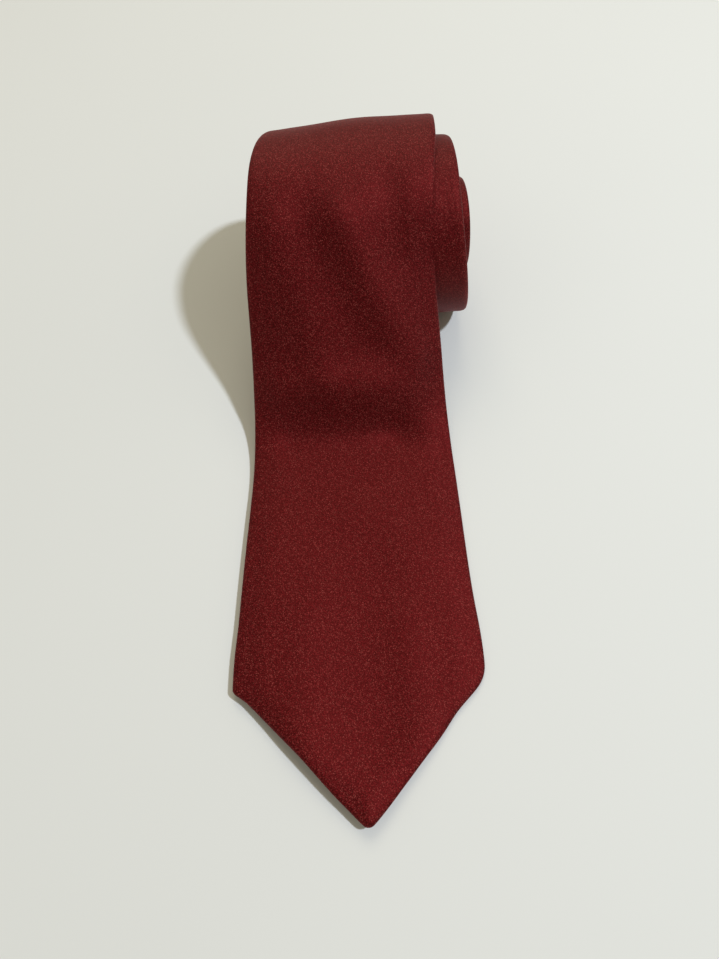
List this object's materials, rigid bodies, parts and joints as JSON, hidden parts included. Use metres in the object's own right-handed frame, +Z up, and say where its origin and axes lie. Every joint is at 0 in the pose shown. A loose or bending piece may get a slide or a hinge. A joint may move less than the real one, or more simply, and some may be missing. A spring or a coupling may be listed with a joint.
{
  "type": "rolled necktie",
  "caption": "Plain burgundy necktie, rolled up from its narrow end, with the wide blade sloping down from the roll and lying flat to its point.",
  "frame": {"origin": "on the surface that the tie lies on, under the middle of the roll's flat underside and on the wide blade's middle line", "axes": "+X across the blade, to the side where the inner turns of the roll stand out; +Y along the blade from its point towards the roll; +Z up"},
  "size_m": [0.0964, 0.2628, 0.072],
  "materials": {
    "shell": "fine burgundy twill with a low sheen",
    "lining": "smooth burgundy tipping cloth with a satin sheen",
    "canvas": "brushed wool and polyester interlining, matt",
    "thread": "burgundy polyester sewing thread",
    "label": "blank off-white woven satin"
  },
  "bodies": {
    "roll": {"blade_shell_roll": "shell", "blade_neck_seam": "thread", "neck_shell": "shell", "neck_tail_seam": "thread", "tail_shell": "shell", "tail_shell_end": "shell", "interlining_roll": "canvas", "interlining_tail": "canvas", "slip_stitch_roll": "thread", "slip_stitch_slack": "thread", "tail_bar_tack": "thread", "tail_tipping": "lining"},
    "rise": {"blade_shell_rise": "shell", "interlining_rise": "canvas", "slip_stitch_rise": "thread", "keeper_loop": "shell", "keeper_tack_left": "thread", "keeper_tack_right": "thread", "care_label": "label", "label_stitch_left": "thread", "label_stitch_right": "thread"},
    "flat": {"blade_shell_flat": "shell", "interlining_flat": "canvas", "blade_tipping_flat": "lining", "blade_bar_tack": "thread", "slip_stitch_flat": "thread"},
    "point": {"blade_shell_point": "shell", "interlining_point": "canvas", "blade_tipping_point": "lining"}
  },
  "joints": [
    {"name": "unroll", "type": "hinge", "parent": "roll", "child": "rise", "pos_m": [0.00252, 0.02231, 0.06508], "axis": [-0.9983, -0.0328, -0.0483], "range_deg": [0, 90]},
    {"name": "blade_lift", "type": "hinge", "parent": "rise", "child": "flat", "pos_m": [0, -0.10492, 0.0024], "axis": [-1, 0, 0], "range_deg": [0, 75]},
    {"name": "point_fold", "type": "hinge", "parent": "flat", "child": "point", "pos_m": [0, -0.16274, 0.0024], "axis": [-1, 0, 0], "range_deg": [0, 110]}
  ]
}
